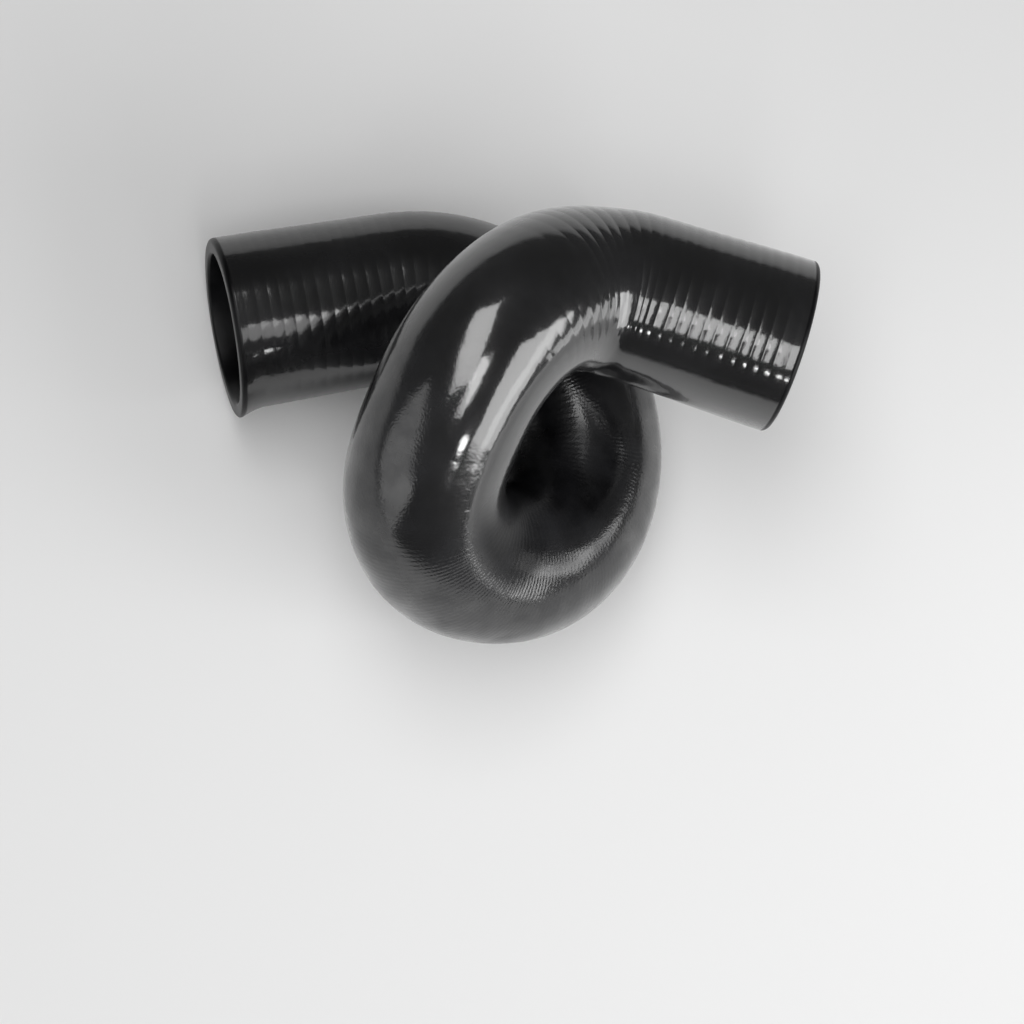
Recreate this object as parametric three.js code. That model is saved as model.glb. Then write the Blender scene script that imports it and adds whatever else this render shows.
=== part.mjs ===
import * as THREE from 'three';
import { mergeVertices } from 'three/addons/utils/BufferGeometryUtils.js';

// Moulded silicone radiator hose, in millimetres and degrees, Z up, lying loose on a flat surface.
// It is one thick-walled rubber tube, cured on a bent mandrel: a straight inlet arm, a loop that
// passes behind it and comes back over its front, and a straight outlet arm.
// The origin is on that surface, under the middle of the hose's box.

// Wall, the same all along
const WALL = 4.2;

// Bores: widest at the mouths, which push over their spigots, and narrowest in the loop
const MOUTH_BORE = 38;
const INLET_ARM_BORE = 36.6;
const ENTRY_BORE = 34.8;
const LOOP_BORE = 34.2;
const LOOP_TOP_BORE = 33.6;
const CROSSING_BORE = 33.4;
const EXIT_BORE = 34.6;
const OUTLET_ARM_BORE = 36;

// Lips of the two mouths
const LIP_ROUND = 1.3;
const LIP_INNER_ROUND = 0.8;

// The inlet's lip stands out on the side that faces the first bend.
const FLARE = 2.3;
const FLARE_LENGTH = 8;

// Straights and bend radii on the centre line
const INLET_ARM = 47;
const ENTRY_RADIUS = 42;
const LOOP_RADIUS = 32;
const LOOP_STRAIGHT = 3;
const CROSSING_STRAIGHT = 13;
const CROSSING_RADIUS = 30;
const OUTLET_ARM = 42.5;

// Bending table, from the inlet mouth on: the straight before the bend, the bend's radius, its
// angle, the roll of its plane from the last bend's plane, and the bore half way.
const BENDS = [
  { lead: INLET_ARM, radius: ENTRY_RADIUS, turn: 100, roll: 0, bore: ENTRY_BORE },
  { lead: 0, radius: LOOP_RADIUS, turn: 90, roll: -32, bore: LOOP_BORE },
  { lead: LOOP_STRAIGHT, radius: LOOP_RADIUS, turn: 90, roll: -36, bore: LOOP_TOP_BORE },
  { lead: CROSSING_STRAIGHT, radius: CROSSING_RADIUS, turn: 78, roll: 18, bore: CROSSING_BORE },
  { lead: 0, radius: CROSSING_RADIUS, turn: 53, roll: -85, bore: EXIT_BORE },
];

// One bend runs into the next: its curvature comes and goes over this length, about its ends.
const EASE = 20;

// How the hose lies: the inlet arm points away from its mouth along X, and the hose leans a
// little on its three points of rest.
const HEADING = -90;
const LEAN_ABOUT_X = 0.5;
const LEAN_ABOUT_Y = 0.9;

// Fineness of the mesh
const SIDES = 32;
const BEND_STEP = 9;
const STRAIGHT_STEP = 12;
const FLARE_STEP = 2;
const LIP_STEPS = 3;
const ROUTE_STEP = 0.5;

const { degToRad, lerp, smoothstep } = THREE.MathUtils;

// The hose is first turned straight, around Y, so Y is its centre line.
const CENTRE_LINE = new THREE.Vector3(0, 1, 0);

// Route

// The bends in order, each with the distances of its ends and its curvature towards its centre.
function placeBends() {
  const bends = [];
  let at = 0;
  let roll = 0;
  for (const { lead, radius, turn, roll: rollStep, bore } of BENDS) {
    roll += degToRad(rollStep);
    const start = at + lead;
    at = start + radius * degToRad(turn);
    const curvature = new THREE.Vector3(Math.cos(roll), 0, -Math.sin(roll)).divideScalar(radius);
    bends.push({ start, end: at, curvature, bore });
  }
  return bends;
}

const bends = placeBends();
const OUTLET_ARM_START = bends.at(-1).end;
const LENGTH = OUTLET_ARM_START + OUTLET_ARM;

function curvatureAt(distance) {
  const passed = (at) => smoothstep(distance - at, -EASE / 2, EASE / 2);
  const curvature = new THREE.Vector3();
  for (const bend of bends) {
    curvature.addScaledVector(bend.curvature, passed(bend.start) - passed(bend.end));
  }
  return curvature;
}

// The move and the turn from one end to the other of a short arc that starts along Y.
function alongArc(curvature, length) {
  const turn = curvature.length() * length;
  if (turn === 0) {
    return new THREE.Matrix4().makeTranslation(0, length, 0);
  }
  const radius = length / turn;
  const toCentre = curvature.clone().normalize();
  const hinge = new THREE.Vector3().crossVectors(CENTRE_LINE, toCentre);
  const place = toCentre.multiplyScalar(radius * (1 - Math.cos(turn)));
  place.addScaledVector(CENTRE_LINE, radius * Math.sin(turn));
  return new THREE.Matrix4().makeRotationAxis(hinge, turn).setPosition(place);
}

// The frames that the centre line carries, one at each step.
function layRoute() {
  const frames = [new THREE.Matrix4()];
  for (let at = 0; at < LENGTH; at += ROUTE_STEP) {
    const step = alongArc(curvatureAt(at + ROUTE_STEP / 2), ROUTE_STEP);
    frames.push(frames.at(-1).clone().multiply(step));
  }
  return frames;
}

const route = layRoute();

function frameAt(distance) {
  const steps = Math.max(0, Math.floor(distance / ROUTE_STEP));
  const rest = distance - steps * ROUTE_STEP;
  return route[steps].clone().multiply(alongArc(curvatureAt(distance), rest));
}

// Section along the straight hose

// The bore at the mouths, at the arms' inner ends and half way round each bend.
function boreStations() {
  return [
    { at: 0, bore: MOUTH_BORE },
    { at: INLET_ARM, bore: INLET_ARM_BORE },
    ...bends.map(({ start, end, bore }) => ({ at: (start + end) / 2, bore })),
    { at: OUTLET_ARM_START, bore: OUTLET_ARM_BORE },
    { at: LENGTH, bore: MOUTH_BORE },
  ];
}

const stations = boreStations();

function boreRadius(distance) {
  const next = Math.max(1, stations.findIndex((station) => station.at >= distance));
  const before = stations[next - 1];
  const after = stations[next];
  return lerp(before.bore, after.bore, smoothstep(distance, before.at, after.at)) / 2;
}

const skinRadius = (distance) => boreRadius(distance) + WALL;

// Distances of the rings between the two lips, closer together where the hose bends or flares.
function ringDistances() {
  const rings = [];
  let at = LIP_ROUND + FLARE_STEP;
  while (at < LENGTH - LIP_ROUND) {
    rings.push(at);
    const bendStep = degToRad(BEND_STEP) / curvatureAt(at).length();
    at += at < FLARE_LENGTH ? FLARE_STEP : Math.min(bendStep, STRAIGHT_STEP);
  }
  return rings;
}

// A quarter round of a lip, as radius and distance, from one angle to the next.
function lipRound(radius, distance, round, fromAngle) {
  const points = [];
  for (let i = 0; i <= LIP_STEPS; i += 1) {
    const angle = fromAngle + (i / LIP_STEPS) * (Math.PI / 2);
    const x = radius + round * Math.cos(angle);
    points.push(new THREE.Vector2(x, distance + round * Math.sin(angle)));
  }
  return points;
}

// The wall's outline, closed on itself: up the skin, over one lip, down the bore, over the other.
function wallOutline() {
  const rings = ringDistances();
  const outerLip = skinRadius(0) - LIP_ROUND;
  const innerLip = boreRadius(0) + LIP_INNER_ROUND;
  const farOuter = LENGTH - LIP_ROUND;
  const farInner = LENGTH - LIP_INNER_ROUND;
  const outline = [
    ...lipRound(outerLip, LIP_ROUND, LIP_ROUND, -Math.PI / 2),
    ...rings.map((at) => new THREE.Vector2(skinRadius(at), at)),
    ...lipRound(outerLip, farOuter, LIP_ROUND, 0),
    ...lipRound(innerLip, farInner, LIP_INNER_ROUND, Math.PI / 2),
    ...rings.reverse().map((at) => new THREE.Vector2(boreRadius(at), at)),
    ...lipRound(innerLip, LIP_INNER_ROUND, LIP_INNER_ROUND, Math.PI),
  ];
  return [...outline, outline[0].clone()];
}

// How far the inlet's lip stands out, at a distance from the mouth and an angle round it.
function flareAt(distance, cosine) {
  const fade = Math.max(0, 1 - distance / FLARE_LENGTH) ** 2;
  return FLARE * fade * Math.max(0, cosine) ** 2;
}

// Carries each point of the straight hose to its place on the bent route.
function bend(geometry) {
  const points = geometry.attributes.position;
  const point = new THREE.Vector3();
  for (let i = 0; i < points.count; i += 1) {
    point.fromBufferAttribute(points, i);
    const distance = point.y;
    point.y = 0;
    const radius = point.length();
    point.multiplyScalar(1 + flareAt(distance, point.x / radius) / radius);
    point.applyMatrix4(frameAt(distance));
    points.setXYZ(i, point.x, point.y, point.z);
  }
}

function makeHoseGeometry() {
  const straight = new THREE.LatheGeometry(wallOutline(), SIDES);
  straight.deleteAttribute('normal');
  straight.deleteAttribute('uv');
  const geometry = mergeVertices(straight);
  bend(geometry);
  geometry.computeVertexNormals();
  return geometry;
}

const silicone = new THREE.MeshStandardMaterial({ color: 0x121316, roughness: 0.28, metalness: 0 });

const hose = new THREE.Mesh(makeHoseGeometry(), silicone);
hose.name = 'hose';
hose.rotation.set(degToRad(LEAN_ABOUT_X), degToRad(LEAN_ABOUT_Y), degToRad(HEADING));

// Sets the hose down on the surface with its box centred on the origin.
const box = new THREE.Box3().setFromObject(hose, true);
const centre = box.getCenter(new THREE.Vector3());
hose.position.set(-centre.x, -centre.y, -box.min.z);

const radiatorHose = new THREE.Group();
radiatorHose.add(hose);

export default radiatorHose;
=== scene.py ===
import math

import bpy
import numpy as np
from mathutils import Matrix, Vector


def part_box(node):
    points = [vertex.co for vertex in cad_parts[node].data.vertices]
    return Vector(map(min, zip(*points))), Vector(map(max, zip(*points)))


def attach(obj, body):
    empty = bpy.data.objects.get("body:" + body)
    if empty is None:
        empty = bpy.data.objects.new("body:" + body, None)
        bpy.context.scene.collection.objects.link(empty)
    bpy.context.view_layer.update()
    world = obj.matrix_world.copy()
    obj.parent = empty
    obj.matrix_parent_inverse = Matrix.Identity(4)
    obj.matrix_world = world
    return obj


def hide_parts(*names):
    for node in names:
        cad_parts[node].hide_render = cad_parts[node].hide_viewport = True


# Looks of a moulded silicone radiator hose, in metres and degrees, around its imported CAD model.
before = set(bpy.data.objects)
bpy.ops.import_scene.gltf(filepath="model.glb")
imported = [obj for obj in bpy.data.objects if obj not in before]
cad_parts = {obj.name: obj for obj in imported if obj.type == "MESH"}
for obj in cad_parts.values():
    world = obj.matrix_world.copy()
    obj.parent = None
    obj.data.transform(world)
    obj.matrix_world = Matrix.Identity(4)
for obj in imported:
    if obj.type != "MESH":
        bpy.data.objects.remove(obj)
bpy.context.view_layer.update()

# Section, as in the CAD model
WALL = 0.0042
MOUTH_BORE = 0.038
INLET_ARM_BORE = 0.0366
OUTLET_ARM_BORE = 0.036
LIP_ROUND = 0.0013
LIP_INNER_ROUND = 0.0008
FLARE = 0.0023
FLARE_LENGTH = 0.008

# A round figure for the skin's radius, for the strength of the ridges, the marks and the weave
SKIN_RADIUS = 0.0215

# Bending table, as in the CAD model: straight before the bend, radius, angle, roll, bore half way
INLET_ARM = 0.047
OUTLET_ARM = 0.0425
BENDS = [
    (INLET_ARM, 0.042, 100, 0, 0.0348),
    (0, 0.032, 90, -32, 0.0342),
    (0.003, 0.032, 90, -36, 0.0336),
    (0.013, 0.030, 78, 18, 0.0334),
    (0, 0.030, 53, -85, 0.0346),
]
EASE = 0.020

# Place in that table of the crossing strand's bend
CROSSING_BEND = 3

# How the hose lies, as in the CAD model
HEADING = -90
LEAN_ABOUT_X = 0.5
LEAN_ABOUT_Y = 0.9

# The wrapping tape's imprint: one shallow ridge a pitch, with a narrow groove between two of them
RIDGE_PITCH = 0.0033
RIDGE_HEIGHT = 0.00009

# Where the rings of one ridge lie in its pitch, and its mean height as a share of the whole
RIDGE_PHASES = (0, 0.05, 0.14, 0.3, 0.5, 0.7, 0.86, 0.95)
RIDGE_MEAN = 0.64

# How far the ridges wander, how uneven they are, and what a bend takes from them inside and outside
RIDGE_WOBBLE = 0.0004
RIDGE_UNEVENNESS = 0.3
CROWDING = 1.2
STRETCHING = 1.1

# Strength of the inlet arm's ridges against the outlet arm's
INLET_RIDGES = 0.42

# Plain stretch behind each lip, and the stretch over which the ridges then come
PLAIN_LIP = 0.0016
PLAIN_LIP_FADE = 0.004

# Outlet arm's smooth side: its angle, the cosine where it begins, its fade, and the ridges' loss there
SMOOTH_SIDE = -5
SMOOTH_FROM = 0.67
SMOOTH_FADE = 0.15
SMOOTHING = 0.9

# Where the arms' ridges fade out and the loop's dull skin, with the tape's finer weave, takes over
LOOP_START = 0.072
LOOP_END = 0.212
OUTER_SIDE_END = 0.246
RIDGES_AGAIN = 0.255
FADE = 0.024
RIDGES_FADE = 0.044

# Sides of a bend, as shares of its radius: the strand's dull outer side and the loop's inner side
OUTER_SIDE = 0.52
OUTER_SIDE_FADE = 0.12
INNER_SIDE_FADE = 0.2

# The weave's pitches outside and inside the loop, its height, mean strength and patchiness
OUTER_WEAVE = 0.0010
INNER_WEAVE = 0.0022
WEAVE_HEIGHT = 0.000014
WEAVE_MEAN = 0.75
WEAVE_PATCHINESS = 0.5

# Irregularity of the weave's rings
WEAVE_DISTORTION = 2.2
WEAVE_DETAIL = 2
WEAVE_DETAIL_SCALE = 0.35

# A wave texture of scale 1 goes through this many radians in one unit of its coordinate.
WAVE_TEXTURE_RATE = 20

# Gloss of the inlet arm and of the loop's inner side, as shares of the strand's gloss
INLET_GLOSS = 0.6
INNER_GLOSS = 0.12

# Height of the skin's fine grain, and its strength on the strand, on the arms and round the loop
GRAIN_HEIGHT = 0.000014
STRAND_GRAIN = 0.3
ARM_GRAIN = 0.6
LOOP_GRAIN = 3

# Seed and length of the slow waves that make the ridges wander and vary, and the weave patchy
WOBBLE_WAVES = (3, 0.02)
RIDGE_WAVES = (5, 0.05)
PATCH_WAVES = (8, 0.06)

# Make-up of the slow waves: how many, the step between their rates, their turns round, their reach
WAVES = 4
WAVE_RATE_STEP = 0.6
MOST_TURNS = 2
WAVES_REACH = 1.6

# How the rubber and its gloss take light, and what the haze adds to the least roughness
RUBBER_IOR = 1.45
RUBBER_SPECULAR = 0.2
GLOSS_IOR = 1.9
GLOSS_ROUGHNESS = 0.1
LEAST_ROUGHNESS = 0.14
HAZE_ROUGHNESS = 0.4

# Colours of the clean and the dusty rubber, and where on the haze each stands
CLEAN_RUBBER = (0.0022, 0.0022, 0.0026, 1)
DUSTY_RUBBER = (0.013, 0.0131, 0.0146, 1)
CLEAN_AT = 0.42
DUSTY_AT = 0.9

# Smudges: their contrast and offset, the dust that they add and what they take from the gloss
SMUDGE_CONTRAST = 3
SMUDGE_OFFSET = -0.9
SMUDGE_DUST = 0.2
SMUDGE_GLOSS = -0.5

# Height of the wall's soft unevenness
WALL_UNEVENNESS = 0.00012

# Noises: scale, detail and roughness
SMUDGE_NOISE = (75, 5, 0.6)
HAZE_NOISE = (38, 6, 0.62)
WALL_NOISE = (130, 3, 0.5)
GRAIN_NOISE = (1800, 2, 0.5)
PAPER_NOISE = (3, 2, 0.5)

# Floor
FLOOR_REACH = 6
PAPER_ROUGHNESS = 0.9
DARKER_PAPER = (0.80, 0.80, 0.80, 1)
LIGHTER_PAPER = (0.83, 0.83, 0.83, 1)

# The point of the hose that the camera and the lamps face
AIM = Vector((-0.01195, -0.02757, 0.045))

# Camera, at the photograph's viewing angle
CAMERA_AZIMUTH = -143.64
CAMERA_ELEVATION = 78.30
CAMERA_DISTANCE = 1.5688
CAMERA_ROLL = 43.21
CLIP_END = 50

# Its lens, as a focal length in pixels of the frame, and its sensor in millimetres
FOCAL_PIXELS = 6000
FRAME_PIXELS = 1024
SENSOR_WIDTH = 36

# Lamps: azimuth, elevation, distance, width, height, radiance, roll and shape
LAMPS = {
    "panel_above": (144, 76.5, 1.55, 0.66, 1.63, 3.6, 116, "RECTANGLE"),
    "panel_front": (-95, 65.7, 1.4, 0.28, 0.79, 3.6, -25, "RECTANGLE"),
    "panel_side": (-43, 26.4, 1.57, 1.23, 1.06, 3.6, 31, "RECTANGLE"),
    "lamp_bend": (-17, 11, 0.28, 0.11, 0.05, 2.3, 0, "RECTANGLE"),
    "lamp_core": (-36, 29, 0.29, 0.05, 0.28, 1.2, -74, "RECTANGLE"),
    "lamp_inlet": (-107, 79.6, 0.186, 0.035, 0.09, 1.6, 7, "ELLIPSE"),
    "lamp_spot": (-85, 41.5, 0.32, 0.022, 0.055, 11, 52, "ELLIPSE"),
    "panel_low": (-160, 20, 1.1, 0.7, 1.0, 1.0, 80, "RECTANGLE"),
}
WORLD_STRENGTH = 0.1

# Fineness of the mesh
SIDES = 72
BORE_STEP = 0.003
LIP_STEPS = 6
ROUTE_STEP = 0.00025

TAU = 2 * math.pi


# Route of the centre line

def place_bends():
    """The bends in order: distances of their ends, and curvature across the hose towards the centre."""
    bends = []
    at = 0
    roll = 0
    for lead, radius, turn, roll_step, _ in BENDS:
        roll += math.radians(roll_step)
        start = at + lead
        at = start + radius * math.radians(turn)
        bends.append((start, at, math.cos(roll) / radius, -math.sin(roll) / radius))
    return bends


bends = place_bends()
OUTLET_ARM_START = bends[-1][1]
LENGTH = OUTLET_ARM_START + OUTLET_ARM


def ease(share):
    share = np.clip(share, 0, 1)
    return share * share * (3 - 2 * share)


def curvature_at(distance):
    """Curvature along the hose's own X and Z. Each bend's comes and goes smoothly about its ends."""
    across_x = 0
    across_z = 0
    for start, end, x, z in bends:
        inside = ease((distance - start) / EASE + 0.5) - ease((distance - end) / EASE + 0.5)
        across_x = across_x + x * inside
        across_z = across_z + z * inside
    return across_x, across_z


def along_arc(x, z, length):
    """The move and the turn from one end to the other of a short arc that starts along Y."""
    curvature = math.hypot(x, z)
    if curvature == 0:
        return Matrix.Translation((0, length, 0))
    to_centre = Vector((x, 0, z)) / curvature
    turn = curvature * length
    hinge = Vector((0, 1, 0)).cross(to_centre)
    move = to_centre * (1 - math.cos(turn)) / curvature
    move.y += math.sin(turn) / curvature
    return Matrix.Translation(move) @ Matrix.Rotation(turn, 4, hinge)


def lay_route():
    """Distances of the steps along the route, and the frame at each."""
    steps = math.ceil(LENGTH / ROUTE_STEP) + 1
    at = np.arange(steps + 1) * ROUTE_STEP
    across_x, across_z = curvature_at(at[:-1] + ROUTE_STEP / 2)
    frames = [Matrix.Identity(4)]
    for x, z in zip(across_x, across_z):
        frames.append(frames[-1] @ along_arc(x, z, ROUTE_STEP))
    return at, np.array(frames)


route_at, route_frames = lay_route()


def on_route(distance, x, z):
    """Carries points of the straight hose to their places on the bent route."""
    points = []
    for row in range(3):
        along_x, along_z, origin = (
            np.interp(distance, route_at, route_frames[:, row, column]) for column in (0, 2, 3)
        )
        points.append(origin + x * along_x + z * along_z)
    return np.stack(points, axis=-1)


# Section along the straight hose

def smooth_through(distance, stations):
    """A value that eases from each station to the next, held level at each."""
    at, value = np.array(stations).T
    cell = np.clip(np.searchsorted(at, distance, side="right") - 1, 0, len(at) - 2)
    share = (distance - at[cell]) / (at[cell + 1] - at[cell])
    return value[cell] + (value[cell + 1] - value[cell]) * ease(share)


def bore_radius(distance):
    in_bends = [((start + end) / 2, row[-1]) for (start, end, _, _), row in zip(bends, BENDS)]
    stations = [(0, MOUTH_BORE), (INLET_ARM, INLET_ARM_BORE), *in_bends]
    stations += [(OUTLET_ARM_START, OUTLET_ARM_BORE), (LENGTH, MOUTH_BORE)]
    return smooth_through(distance, stations) / 2


def from_nearer_mouth(distance):
    return np.minimum(distance, LENGTH - distance)


def skin_rings():
    """Distances of the skin's rings, clear of the lips, and the ridge's height at each, up to 1."""
    count = round(LENGTH / RIDGE_PITCH)
    phases = (np.arange(count)[:, None] + np.array(RIDGE_PHASES)).ravel()
    distance = phases * LENGTH / count
    height = np.abs(np.sin(np.pi * phases))
    clear = from_nearer_mouth(distance) > PLAIN_LIP
    return distance[clear], height[clear]


def lip_round(radius, distance, size, from_angle):
    angle = from_angle + np.linspace(0, math.pi / 2, LIP_STEPS + 1)
    return radius + size * np.cos(angle), distance + size * np.sin(angle)


def wall_outline():
    """The wall's outline: radius, distance, height of the ridge, and whether it is on the skin."""
    skin_at, height = skin_rings()
    bore_at = np.linspace(LENGTH - LIP_INNER_ROUND, LIP_INNER_ROUND, round(LENGTH / BORE_STEP))[1:-1]
    outer = MOUTH_BORE / 2 + WALL - LIP_ROUND
    inner = MOUTH_BORE / 2 + LIP_INNER_ROUND
    parts = [
        (*lip_round(outer, LIP_ROUND, LIP_ROUND, -math.pi / 2), 0, False),
        (bore_radius(skin_at) + WALL, skin_at, height, True),
        (*lip_round(outer, LENGTH - LIP_ROUND, LIP_ROUND, 0), 0, False),
        (*lip_round(inner, LENGTH - LIP_INNER_ROUND, LIP_INNER_ROUND, math.pi / 2), 0, False),
        (bore_radius(bore_at), bore_at, 0, False),
        (*lip_round(inner, LIP_INNER_ROUND, LIP_INNER_ROUND, math.pi), 0, False),
    ]
    columns = zip(*(np.broadcast_arrays(*part) for part in parts))
    return [np.concatenate(column) for column in columns]


# Ridges

def slow_waves(distance, angle, seed, length):
    """A smooth, uneven value between about -1 and 1, the same each run."""
    random = np.random.default_rng(seed)
    value = 0
    for step in range(1, WAVES + 1):
        along, round_it = random.uniform(0, TAU, 2)
        turns = random.integers(0, MOST_TURNS + 1)
        travelled = distance / length * TAU * step * WAVE_RATE_STEP
        phase = travelled + along + np.sin(turns * angle + round_it)
        value = value + np.sin(phase) / step
    return value / WAVES_REACH


def passed(distance, at, fade=FADE):
    return ease((distance - at) / fade + 0.5)


def towards_centre(curvature, angle):
    """How far the skin is towards the centre of a bend, as a share of the bend's radius."""
    across_x, across_z = curvature
    return SKIN_RADIUS * (np.sin(angle) * across_x + np.cos(angle) * across_z)


def on_arms(distance, inlet_share=1):
    """1 on the arms and 0 round the loop, with the inlet arm at a share of its own."""
    inlet = inlet_share * (1 - passed(distance, LOOP_START))
    return inlet + passed(distance, RIDGES_AGAIN, RIDGES_FADE)


def ridge_strength(distance, angle):
    """How strong the ridges are: less where a bend crowds them or stretches the tape, and nearly
    none on the side of the outlet arm that faces the loop."""
    inward = towards_centre(curvature_at(distance), angle)
    uneven = 1 + RIDGE_UNEVENNESS * slow_waves(distance, angle, *RIDGE_WAVES)
    flattened = np.where(inward > 0, 1 - CROWDING * inward, 1 + STRETCHING * inward)
    facing_loop = np.cos(angle - math.radians(SMOOTH_SIDE))
    smooth_side = passed(distance, LOOP_END) * ease((facing_loop - SMOOTH_FROM) / SMOOTH_FADE)
    return on_arms(distance, INLET_RIDGES) * uneven * flattened * (1 - SMOOTHING * smooth_side)


# Mesh

def make_hose_mesh():
    """The closed wall, ring by ring, with its ridges, its coordinates and its marks."""
    radius, distance, ridge, on_skin = (each[:, None] for each in wall_outline())
    angle = np.arange(SIDES)[None, :] * TAU / SIDES
    clear_of_lips = np.clip((from_nearer_mouth(distance) - PLAIN_LIP) / PLAIN_LIP_FADE, 0, 1)
    wobble = RIDGE_WOBBLE * slow_waves(distance, angle, *WOBBLE_WAVES) * clear_of_lips * on_skin
    at = distance + wobble
    swell = np.where(on_skin, (ridge - RIDGE_MEAN) * RIDGE_HEIGHT * ridge_strength(at, angle), 0)
    near_inlet = np.clip(1 - distance / FLARE_LENGTH, 0, None)
    flare = FLARE * near_inlet ** 2 * np.clip(np.sin(angle), 0, None) ** 2
    reach = radius + swell * clear_of_lips + flare
    points = on_route(at, reach * np.sin(angle), reach * np.cos(angle))
    rings = len(radius)
    index = np.arange(rings * SIDES).reshape(rings, SIDES)
    ahead = np.roll(index, -1, axis=0)
    beside = np.roll(index, -1, axis=1)
    both = np.roll(ahead, -1, axis=1)
    faces = np.stack([index, ahead, both, beside], axis=-1).reshape(-1, 4)
    mesh = bpy.data.meshes.new("hose_skin")
    mesh.from_pydata(points.reshape(-1, 3).tolist(), [], faces.tolist())
    lay_out_coordinates(mesh, distance, rings)
    mark_skin(mesh, at, angle, on_skin)
    mesh.shade_smooth()
    return mesh


def mark_skin(mesh, distance, angle, on_skin):
    """Marks, for the material, how glossy, grained and dull each point is, and both weaves."""
    in_loop = passed(distance, LOOP_START) - passed(distance, LOOP_END)
    to_strand = passed(distance, LOOP_START) - passed(distance, OUTER_SIDE_END)
    outward = -towards_centre(bends[CROSSING_BEND][2:], angle)
    dull = np.maximum(in_loop, to_strand * ease((outward - OUTER_SIDE) / OUTER_SIDE_FADE))
    inner = ease(towards_centre(curvature_at(distance), angle) / INNER_SIDE_FADE)
    patches = WEAVE_MEAN + WEAVE_PATCHINESS * slow_waves(distance, angle, *PATCH_WAVES)
    woven = on_skin * in_loop * np.clip(patches, 0, 1)
    gloss = INLET_GLOSS + (1 - INLET_GLOSS) * passed(distance, LOOP_START)
    marks = {
        "gloss": on_skin * gloss * (1 - (1 - INNER_GLOSS) * in_loop * inner),
        "grain": np.maximum(STRAND_GRAIN, ARM_GRAIN * on_arms(distance) + LOOP_GRAIN * dull),
        "dull": on_skin * dull,
        "outer_weave": woven * (1 - inner),
        "inner_weave": woven * inner,
    }
    for name, values in marks.items():
        mark = mesh.attributes.new(name, "FLOAT", "POINT")
        mark.data.foreach_set("value", values.astype(np.float32).ravel())


def lay_out_coordinates(mesh, distance, rings):
    """UV along the hose and round it, in metres, which the weave's imprint follows."""
    along = np.append(distance.ravel(), distance[0, 0])
    cell, side = np.divmod(np.arange(rings * SIDES), SIDES)
    corner_cell = np.stack([cell, cell + 1, cell + 1, cell], axis=-1)
    corner_side = np.stack([side, side, side + 1, side + 1], axis=-1)
    uv = np.stack([along[corner_cell], corner_side / SIDES * TAU * SKIN_RADIUS], axis=-1)
    layer = mesh.uv_layers.new(name="along_and_round")
    layer.data.foreach_set("uv", uv.astype(np.float32).ravel())


def lay_down(mesh):
    """Leans the hose on its points of rest and centres it where the CAD hose lies."""
    lean = Matrix.Rotation(math.radians(LEAN_ABOUT_X), 4, "X")
    lean = lean @ Matrix.Rotation(math.radians(LEAN_ABOUT_Y), 4, "Y")
    lean = lean @ Matrix.Rotation(math.radians(HEADING), 4, "Z")
    mesh.transform(lean)
    points = np.empty(len(mesh.vertices) * 3, dtype=np.float32)
    mesh.vertices.foreach_get("co", points)
    points = points.reshape(-1, 3)
    low, high = points.min(axis=0), points.max(axis=0)
    cad_low, cad_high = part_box("hose")
    middle = (Vector(cad_low) + Vector(cad_high)) / 2
    own = Vector(((low + high) / 2).tolist())
    move = middle - own
    move.z = cad_low[2] - float(low[2])
    mesh.transform(Matrix.Translation(move))


# Materials

def new_material(name):
    """A material, its nodes and links, its shader and the object's own coordinates."""
    material = bpy.data.materials.new(name)
    material.use_nodes = True
    nodes = material.node_tree.nodes
    place = nodes.new("ShaderNodeTexCoord").outputs["Object"]
    return material, nodes, material.node_tree.links, nodes["Principled BSDF"], place


def mark_of(nodes, name):
    mark = nodes.new("ShaderNodeAttribute")
    mark.attribute_name = name
    return mark.outputs["Fac"]


def calculate(nodes, links, operation, *operands):
    """A math node over sockets and numbers."""
    node = nodes.new("ShaderNodeMath")
    node.operation = operation
    for socket, operand in zip(node.inputs, operands):
        if isinstance(operand, bpy.types.NodeSocket):
            links.new(operand, socket)
        else:
            socket.default_value = operand
    return node.outputs["Value"]


def noise(nodes, links, vector, scale, detail, roughness):
    node = nodes.new("ShaderNodeTexNoise")
    node.inputs["Scale"].default_value = scale
    node.inputs["Detail"].default_value = detail
    node.inputs["Roughness"].default_value = roughness
    links.new(vector, node.inputs["Vector"])
    return node.outputs["Fac"]


def two_tones(nodes, links, value, low, high, low_at=0, high_at=1):
    """A colour that goes from the low one to the high one as the value rises between two places."""
    node = nodes.new("ShaderNodeValToRGB")
    for stop, colour, at in zip(node.color_ramp.elements, (low, high), (low_at, high_at)):
        stop.position = at
        stop.color = colour
    links.new(value, node.inputs["Fac"])
    return node.outputs["Color"]


def bump(nodes, links, height, distance, normal=None):
    node = nodes.new("ShaderNodeBump")
    node.inputs["Strength"].default_value = 1
    node.inputs["Distance"].default_value = distance
    links.new(height, node.inputs["Height"])
    if normal is not None:
        links.new(normal, node.inputs["Normal"])
    return node.outputs["Normal"]


def weave(nodes, links, pitch, strength):
    """Fine rings of the given pitch along the hose, as strong as the given mark."""
    place = nodes.new("ShaderNodeUVMap")
    place.uv_map = "along_and_round"
    wave = nodes.new("ShaderNodeTexWave")
    wave.inputs["Scale"].default_value = TAU / WAVE_TEXTURE_RATE / pitch
    wave.inputs["Distortion"].default_value = WEAVE_DISTORTION
    wave.inputs["Detail"].default_value = WEAVE_DETAIL
    wave.inputs["Detail Scale"].default_value = WEAVE_DETAIL_SCALE
    links.new(place.outputs["UV"], wave.inputs["Vector"])
    return calculate(nodes, links, "MULTIPLY", wave.outputs["Fac"], strength)


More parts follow.
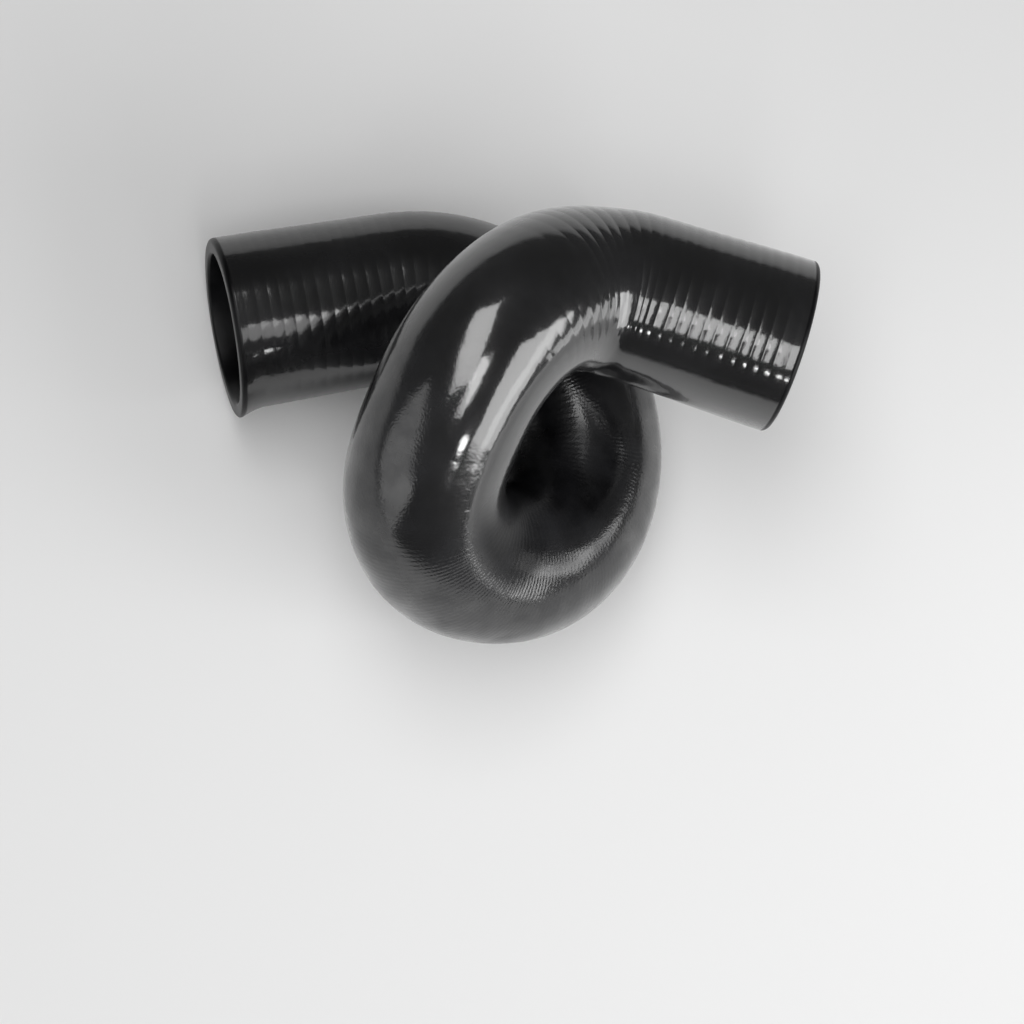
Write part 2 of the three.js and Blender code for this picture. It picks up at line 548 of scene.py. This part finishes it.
def make_silicone():
    material, nodes, links, shader, place = new_material("black_silicone")
    shader.inputs["IOR"].default_value = RUBBER_IOR
    shader.inputs["Specular IOR Level"].default_value = RUBBER_SPECULAR
    shader.inputs["Coat IOR"].default_value = GLOSS_IOR
    shader.inputs["Coat Roughness"].default_value = GLOSS_ROUGHNESS
    smudge = noise(nodes, links, place, *SMUDGE_NOISE)
    smudge = calculate(nodes, links, "MULTIPLY_ADD", smudge, SMUDGE_CONTRAST, SMUDGE_OFFSET)
    smudge.node.use_clamp = True
    smudged = calculate(nodes, links, "MULTIPLY", smudge, mark_of(nodes, "dull"))

    # Colour: near black, with a faint haze, and dusty where the loop is smudged
    haze = noise(nodes, links, place, *HAZE_NOISE)
    dust = calculate(nodes, links, "MULTIPLY_ADD", smudged, SMUDGE_DUST, haze)
    tone = two_tones(nodes, links, dust, CLEAN_RUBBER, DUSTY_RUBBER, CLEAN_AT, DUSTY_AT)
    links.new(tone, shader.inputs["Base Color"])
    rough = calculate(nodes, links, "MULTIPLY_ADD", haze, HAZE_ROUGHNESS, LEAST_ROUGHNESS)
    links.new(rough, shader.inputs["Roughness"])

    # Gloss: clear on the strand, softer on the inlet arm, smudged round the loop, none where cut
    cover = calculate(nodes, links, "MULTIPLY_ADD", smudged, SMUDGE_GLOSS, 1)
    cover = calculate(nodes, links, "MULTIPLY", cover, mark_of(nodes, "gloss"))
    links.new(cover, shader.inputs["Coat Weight"])

    # Relief: soft unevenness of the wall, the fine weave round the loop, and the skin's grain
    normal = bump(nodes, links, noise(nodes, links, place, *WALL_NOISE), WALL_UNEVENNESS)
    for pitch, mark in ((OUTER_WEAVE, "outer_weave"), (INNER_WEAVE, "inner_weave")):
        rings = weave(nodes, links, pitch, mark_of(nodes, mark))
        normal = bump(nodes, links, rings, WEAVE_HEIGHT, normal)
    grain = noise(nodes, links, place, *GRAIN_NOISE)
    grain = calculate(nodes, links, "MULTIPLY", grain, mark_of(nodes, "grain"))
    normal = bump(nodes, links, grain, GRAIN_HEIGHT, normal)
    links.new(normal, shader.inputs["Normal"])
    links.new(normal, shader.inputs["Coat Normal"])
    return material


def make_floor_paper():
    material, nodes, links, shader, place = new_material("floor_paper")
    shader.inputs["Roughness"].default_value = PAPER_ROUGHNESS
    shader.inputs["Specular IOR Level"].default_value = 0
    mottle = noise(nodes, links, place, *PAPER_NOISE)
    tone = two_tones(nodes, links, mottle, DARKER_PAPER, LIGHTER_PAPER)
    links.new(tone, shader.inputs["Base Color"])
    return material


# Pieces

def make_hose():
    mesh = make_hose_mesh()
    lay_down(mesh)
    mesh.materials.append(make_silicone())
    hose = bpy.data.objects.new("hose_skin", mesh)
    bpy.context.scene.collection.objects.link(hose)
    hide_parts("hose")
    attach(hose, "root")


def make_floor():
    mesh = bpy.data.meshes.new("floor")
    reach = FLOOR_REACH
    corners = [(-reach, -reach, 0), (reach, -reach, 0), (reach, reach, 0), (-reach, reach, 0)]
    mesh.from_pydata(corners, [], [(0, 1, 2, 3)])
    mesh.materials.append(make_floor_paper())
    floor = bpy.data.objects.new("floor", mesh)
    bpy.context.scene.collection.objects.link(floor)


# Camera and lights

def facing(azimuth, elevation, distance, roll):
    """A place that faces AIM, from an azimuth, an elevation and a distance, rolled about its view."""
    turn = Matrix.Rotation(math.radians(azimuth + 90), 4, "Z")
    turn = turn @ Matrix.Rotation(math.radians(90 - elevation), 4, "X")
    turn = turn @ Matrix.Rotation(math.radians(roll), 4, "Z")
    return Matrix.Translation(AIM) @ turn @ Matrix.Translation((0, 0, distance))


def make_camera():
    data = bpy.data.cameras.new("camera")
    data.sensor_width = SENSOR_WIDTH
    data.lens = SENSOR_WIDTH * FOCAL_PIXELS / FRAME_PIXELS
    data.clip_end = CLIP_END
    camera = bpy.data.objects.new("camera", data)
    camera.matrix_world = facing(CAMERA_AZIMUTH, CAMERA_ELEVATION, CAMERA_DISTANCE, CAMERA_ROLL)
    bpy.context.scene.collection.objects.link(camera)
    bpy.context.scene.camera = camera


def make_lamps():
    for name, (azimuth, elevation, distance, width, height, radiance, roll, shape) in LAMPS.items():
        data = bpy.data.lights.new(name, "AREA")
        data.shape = shape
        data.size = width
        data.size_y = height
        data.energy = radiance * math.pi * width * height
        lamp = bpy.data.objects.new(name, data)
        lamp.matrix_world = facing(azimuth, elevation, distance, roll)
        lamp.visible_camera = False
        bpy.context.scene.collection.objects.link(lamp)


def make_world():
    world = bpy.data.worlds.new("world")
    world.use_nodes = True
    background = world.node_tree.nodes["Background"]
    background.inputs["Color"].default_value = (1, 1, 1, 1)
    background.inputs["Strength"].default_value = WORLD_STRENGTH
    bpy.context.scene.world = world


make_camera()
make_hose()
make_floor()
make_world()
make_lamps()

bpy.context.scene.view_settings.view_transform = "Standard"
